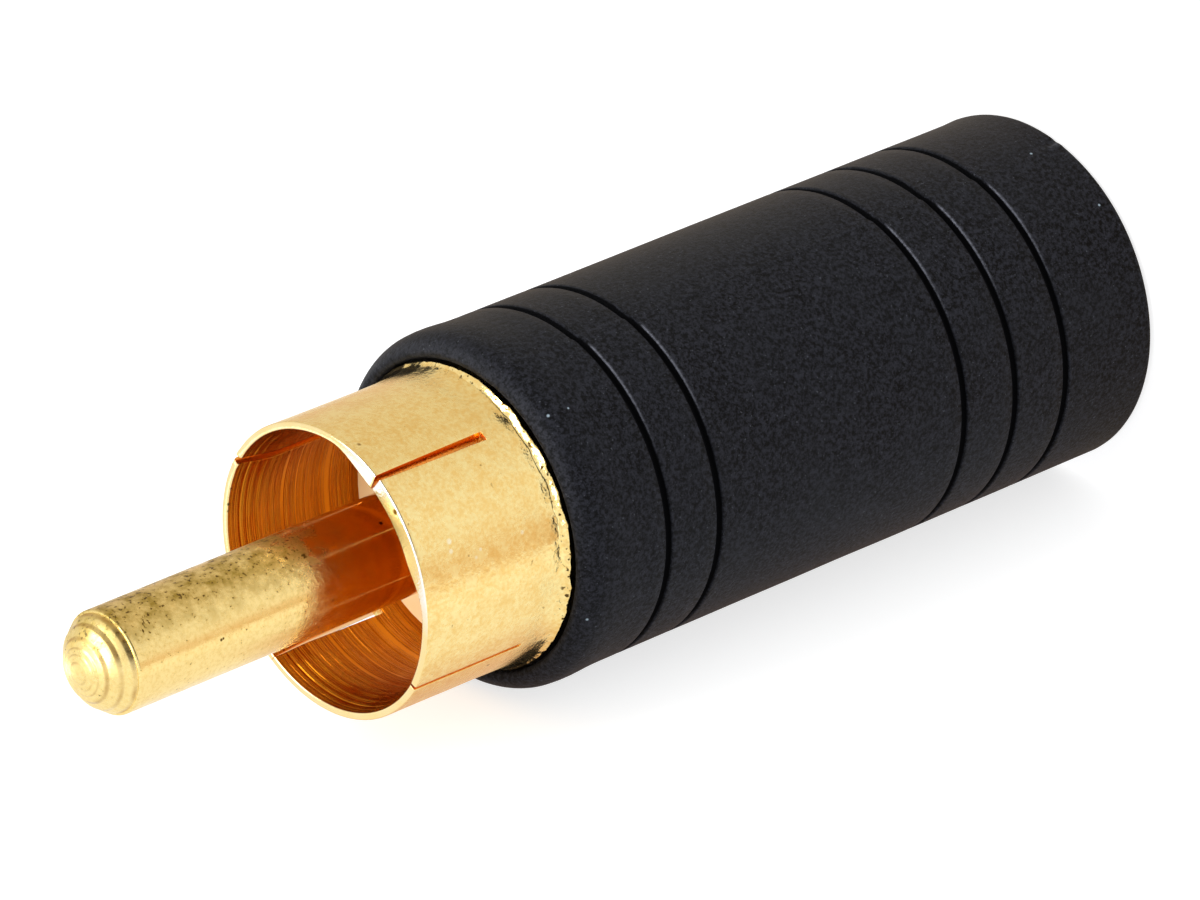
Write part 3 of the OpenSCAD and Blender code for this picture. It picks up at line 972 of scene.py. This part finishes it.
def white_surface(name, glow, paint, patches):
    """White card that keeps the plug's soft shadow and is clear from behind.

    Patches tint what metal sees of it. A patch has a colour, a strength and its limits; a limit has a
    direction and the places in mm along it where the patch begins, is full, fades and is gone."""
    material, tree, place = start_material(name)
    path = add(tree, "LightPath")
    lit = add(tree, "Emission", {"Strength": glow})
    matt = add(tree, "BsdfDiffuse", {"Color": (paint, paint, paint, 1)})
    shown = add(tree, "AddShader", {0: lit.outputs[0], 1: matt.outputs[0]}).outputs[0]
    tint = (1, 1, 1, 1)
    for colour, strength, limits in patches:
        share = 1.0
        for direction, (begins, full, fades, gone) in limits:
            off = along(tree, place, direction)
            rise = ramp(tree, off, begins * MM, full * MM)
            fall = ramp(tree, off, gone * MM, fades * MM)
            share = calc(tree, "MULTIPLY", share, calc(tree, "MULTIPLY", rise, fall))
        tint = mix(tree, share, tint, [part * strength for part in linear(colour)])
    seen = add(tree, "Emission", {"Color": tint}).outputs[0]
    front = add(tree, "MixShader", {0: path.outputs["Is Glossy Ray"], 1: shown, 2: seen}).outputs[0]
    back = add(tree, "NewGeometry").outputs["Backfacing"]
    clear = add(tree, "BsdfTransparent").outputs[0]
    shader = add(tree, "MixShader", {0: back, 1: front, 2: clear}).outputs[0]
    out = add(tree, "OutputMaterial")
    tree.links.new(shader, out.inputs[0])
    return material


def make_stage():
    """The white floor under the jack end, and the white surface that the plug lies on in the photograph."""
    facing = unit(LYING_SIDE + 180)
    across = unit(LYING_SIDE - 90)
    bpy.ops.object.select_all(action="DESELECT")
    bpy.ops.mesh.primitive_plane_add(size=FLOOR_SIZE * MM, location=(0, 0, -FLOOR_DROP * MM))
    floor = bpy.context.object
    floor.name = "floor"
    bpy.ops.object.transform_apply(location=True, rotation=True, scale=True)
    # What metal sees of the floor: painted shade towards +X, a painted tan shade along the crease with the
    # lying surface, and dark far off on the camera's side
    dim_side = ("#f1e8d9", 0.9, [((1, 0, 0), (-15, 27, FAR, FAR + 1))])
    painted_crease_shade = ("#f6dcc0", 0.9, [(facing, (-8, -7, 0, 14))])
    far_dark = ("#ffffff", 0.1, [(unit(CAMERA_AZIMUTH), (90, 180, FAR, FAR + 1))])
    floor.data.materials.append(white_surface("white_floor", 0.8, 0.4, [dim_side, painted_crease_shade, far_dark]))
    bpy.ops.mesh.primitive_plane_add(size=SHEET_SIZE * MM)
    sheet = bpy.context.object
    sheet.name = "lying_surface"
    turn_up = facing.to_track_quat("Z", "Y").to_matrix().to_4x4()
    sheet.data.transform(Matrix.Translation(-facing * (grip_r + SHEET_CLEAR) * MM) @ turn_up)
    # What metal sees of the lying surface: a painted shadow under the plug, a brighter band to one side,
    # and a bright painted glare high up
    under = ("#ffdcc4", 0.78, [(across, (-6.5, -3, 1, 3)), (UP, (-1, 0, 27.5, 30))])
    pale = ("#ffffff", 1.12, [(across, (-80, -50, -18, -11))])
    glare = ("#ffffff", 2.6, [(across, (8.4, 9.6, 12.6, 14)), (UP, (36, 38.5, 43, 45))])
    sheet.data.materials.append(white_surface("white_paper", 0.71, 0.54, [under, pale, glare]))
    sheet.visible_shadow = False
    sheet.visible_diffuse = False


# The room: how strongly it lights things, how bright it looks, and its brightest and darkest in metal
ROOM_LIGHT = 0.5
ROOM_SEEN = 1.0
ROOM_BRIGHT = 0.95
ROOM_DARK = 0.1
# It darkens between these shares of the way towards the camera's side, and of the way up
DARK_BEHIND = (0.2, 0.6)
DARK_BELOW = (0.45, 0.25)


def make_world():
    """An even white room; metal sees it dark low down behind the camera."""
    world = bpy.data.worlds.new("white_room")
    bpy.context.scene.world = world
    world.use_nodes = True
    tree = world.node_tree
    tree.nodes.clear()
    path = add(tree, "LightPath")
    straight = calc(tree, "MAXIMUM", path.outputs["Is Camera Ray"], path.outputs["Is Transmission Ray"])
    direction = add(tree, "TexCoord").outputs["Generated"]
    behind = ramp(tree, along(tree, direction, unit(CAMERA_AZIMUTH)), *DARK_BEHIND)
    low = ramp(tree, height_of(tree, direction), *DARK_BELOW)
    shade = ramp(tree, calc(tree, "MULTIPLY", behind, low), low=ROOM_BRIGHT, high=ROOM_DARK)
    light, white, room = [
        add(tree, "Background", {"Color": (1, 1, 1, 1), "Strength": strength}).outputs[0]
        for strength in (ROOM_LIGHT, ROOM_SEEN, shade)
    ]
    shown = add(tree, "MixShader", {0: straight, 1: light, 2: white}).outputs[0]
    mixed = add(tree, "MixShader", {0: path.outputs["Is Glossy Ray"], 1: shown, 2: room})
    out = add(tree, "OutputWorld")
    tree.links.new(mixed.outputs[0], out.inputs[0])


# Square soft lamps: azimuth, elevation, distance, size, power and colour
LAMPS = {
    "main": (-34, 54, 250, 120, 0.3, "#ffffff"),
    "back": (60, 65, 250, 160, 0.12, "#e6eeff"),
    "fill": (-150, 15, 300, 200, 0.12, "#dfe8ff"),
    "mouth": (-60, 80, 250, 120, 0.25, "#ffffff"),
}
# Lamps look at the plug's axis at this height
LIT_HEIGHT = 20


def toward(azimuth, elevation):
    """The direction at an azimuth and an elevation."""
    return unit(azimuth) * math.cos(math.radians(elevation)) + UP * math.sin(math.radians(elevation))


def make_lamps():
    """The lamps, each looking at the middle of the plug."""
    for name, (azimuth, elevation, distance, size, power, colour) in LAMPS.items():
        away = toward(azimuth, elevation)
        data = bpy.data.lights.new(name, "AREA")
        data.size = size * MM
        data.energy = power
        data.color = linear(colour)[:3]
        lamp = bpy.data.objects.new(name, data)
        lamp.location = UP * LIT_HEIGHT * MM + away * distance * MM
        lamp.rotation_mode = "QUATERNION"
        lamp.rotation_quaternion = (-away).to_track_quat("-Z", "Y")
        bpy.context.scene.collection.objects.link(lamp)


def make_camera():
    """The photograph's camera."""
    level = (-toward(CAMERA_AZIMUTH, CAMERA_ELEVATION)).to_track_quat("-Z", "Y").to_matrix().to_4x4()
    roll = Matrix.Rotation(math.radians(CAMERA_ROLL), 4, "Z")
    data = bpy.data.cameras.new("camera")
    data.sensor_width = SENSOR
    data.sensor_fit = "HORIZONTAL"
    data.lens = CAMERA_LENS
    data.clip_start = CLIP_NEAR * MM
    data.clip_end = CLIP_FAR * MM
    camera = bpy.data.objects.new("camera", data)
    camera.matrix_world = Matrix.Translation(Vector(CAMERA_PLACE) * MM) @ level @ roll
    bpy.context.scene.collection.objects.link(camera)
    bpy.context.scene.camera = camera


make_camera()
make_world()
make_stage()
make_lamps()
satin_plate = satin_gold_plate()
bored_plate = turned_gold_bore_painted_shade()
make_grip()
make_shell(satin_plate, bored_plate)
make_pin()
make_bushing(satin_plate, bored_plate)
finish_cad_nodes()

bpy.context.scene.view_settings.view_transform = "Standard"
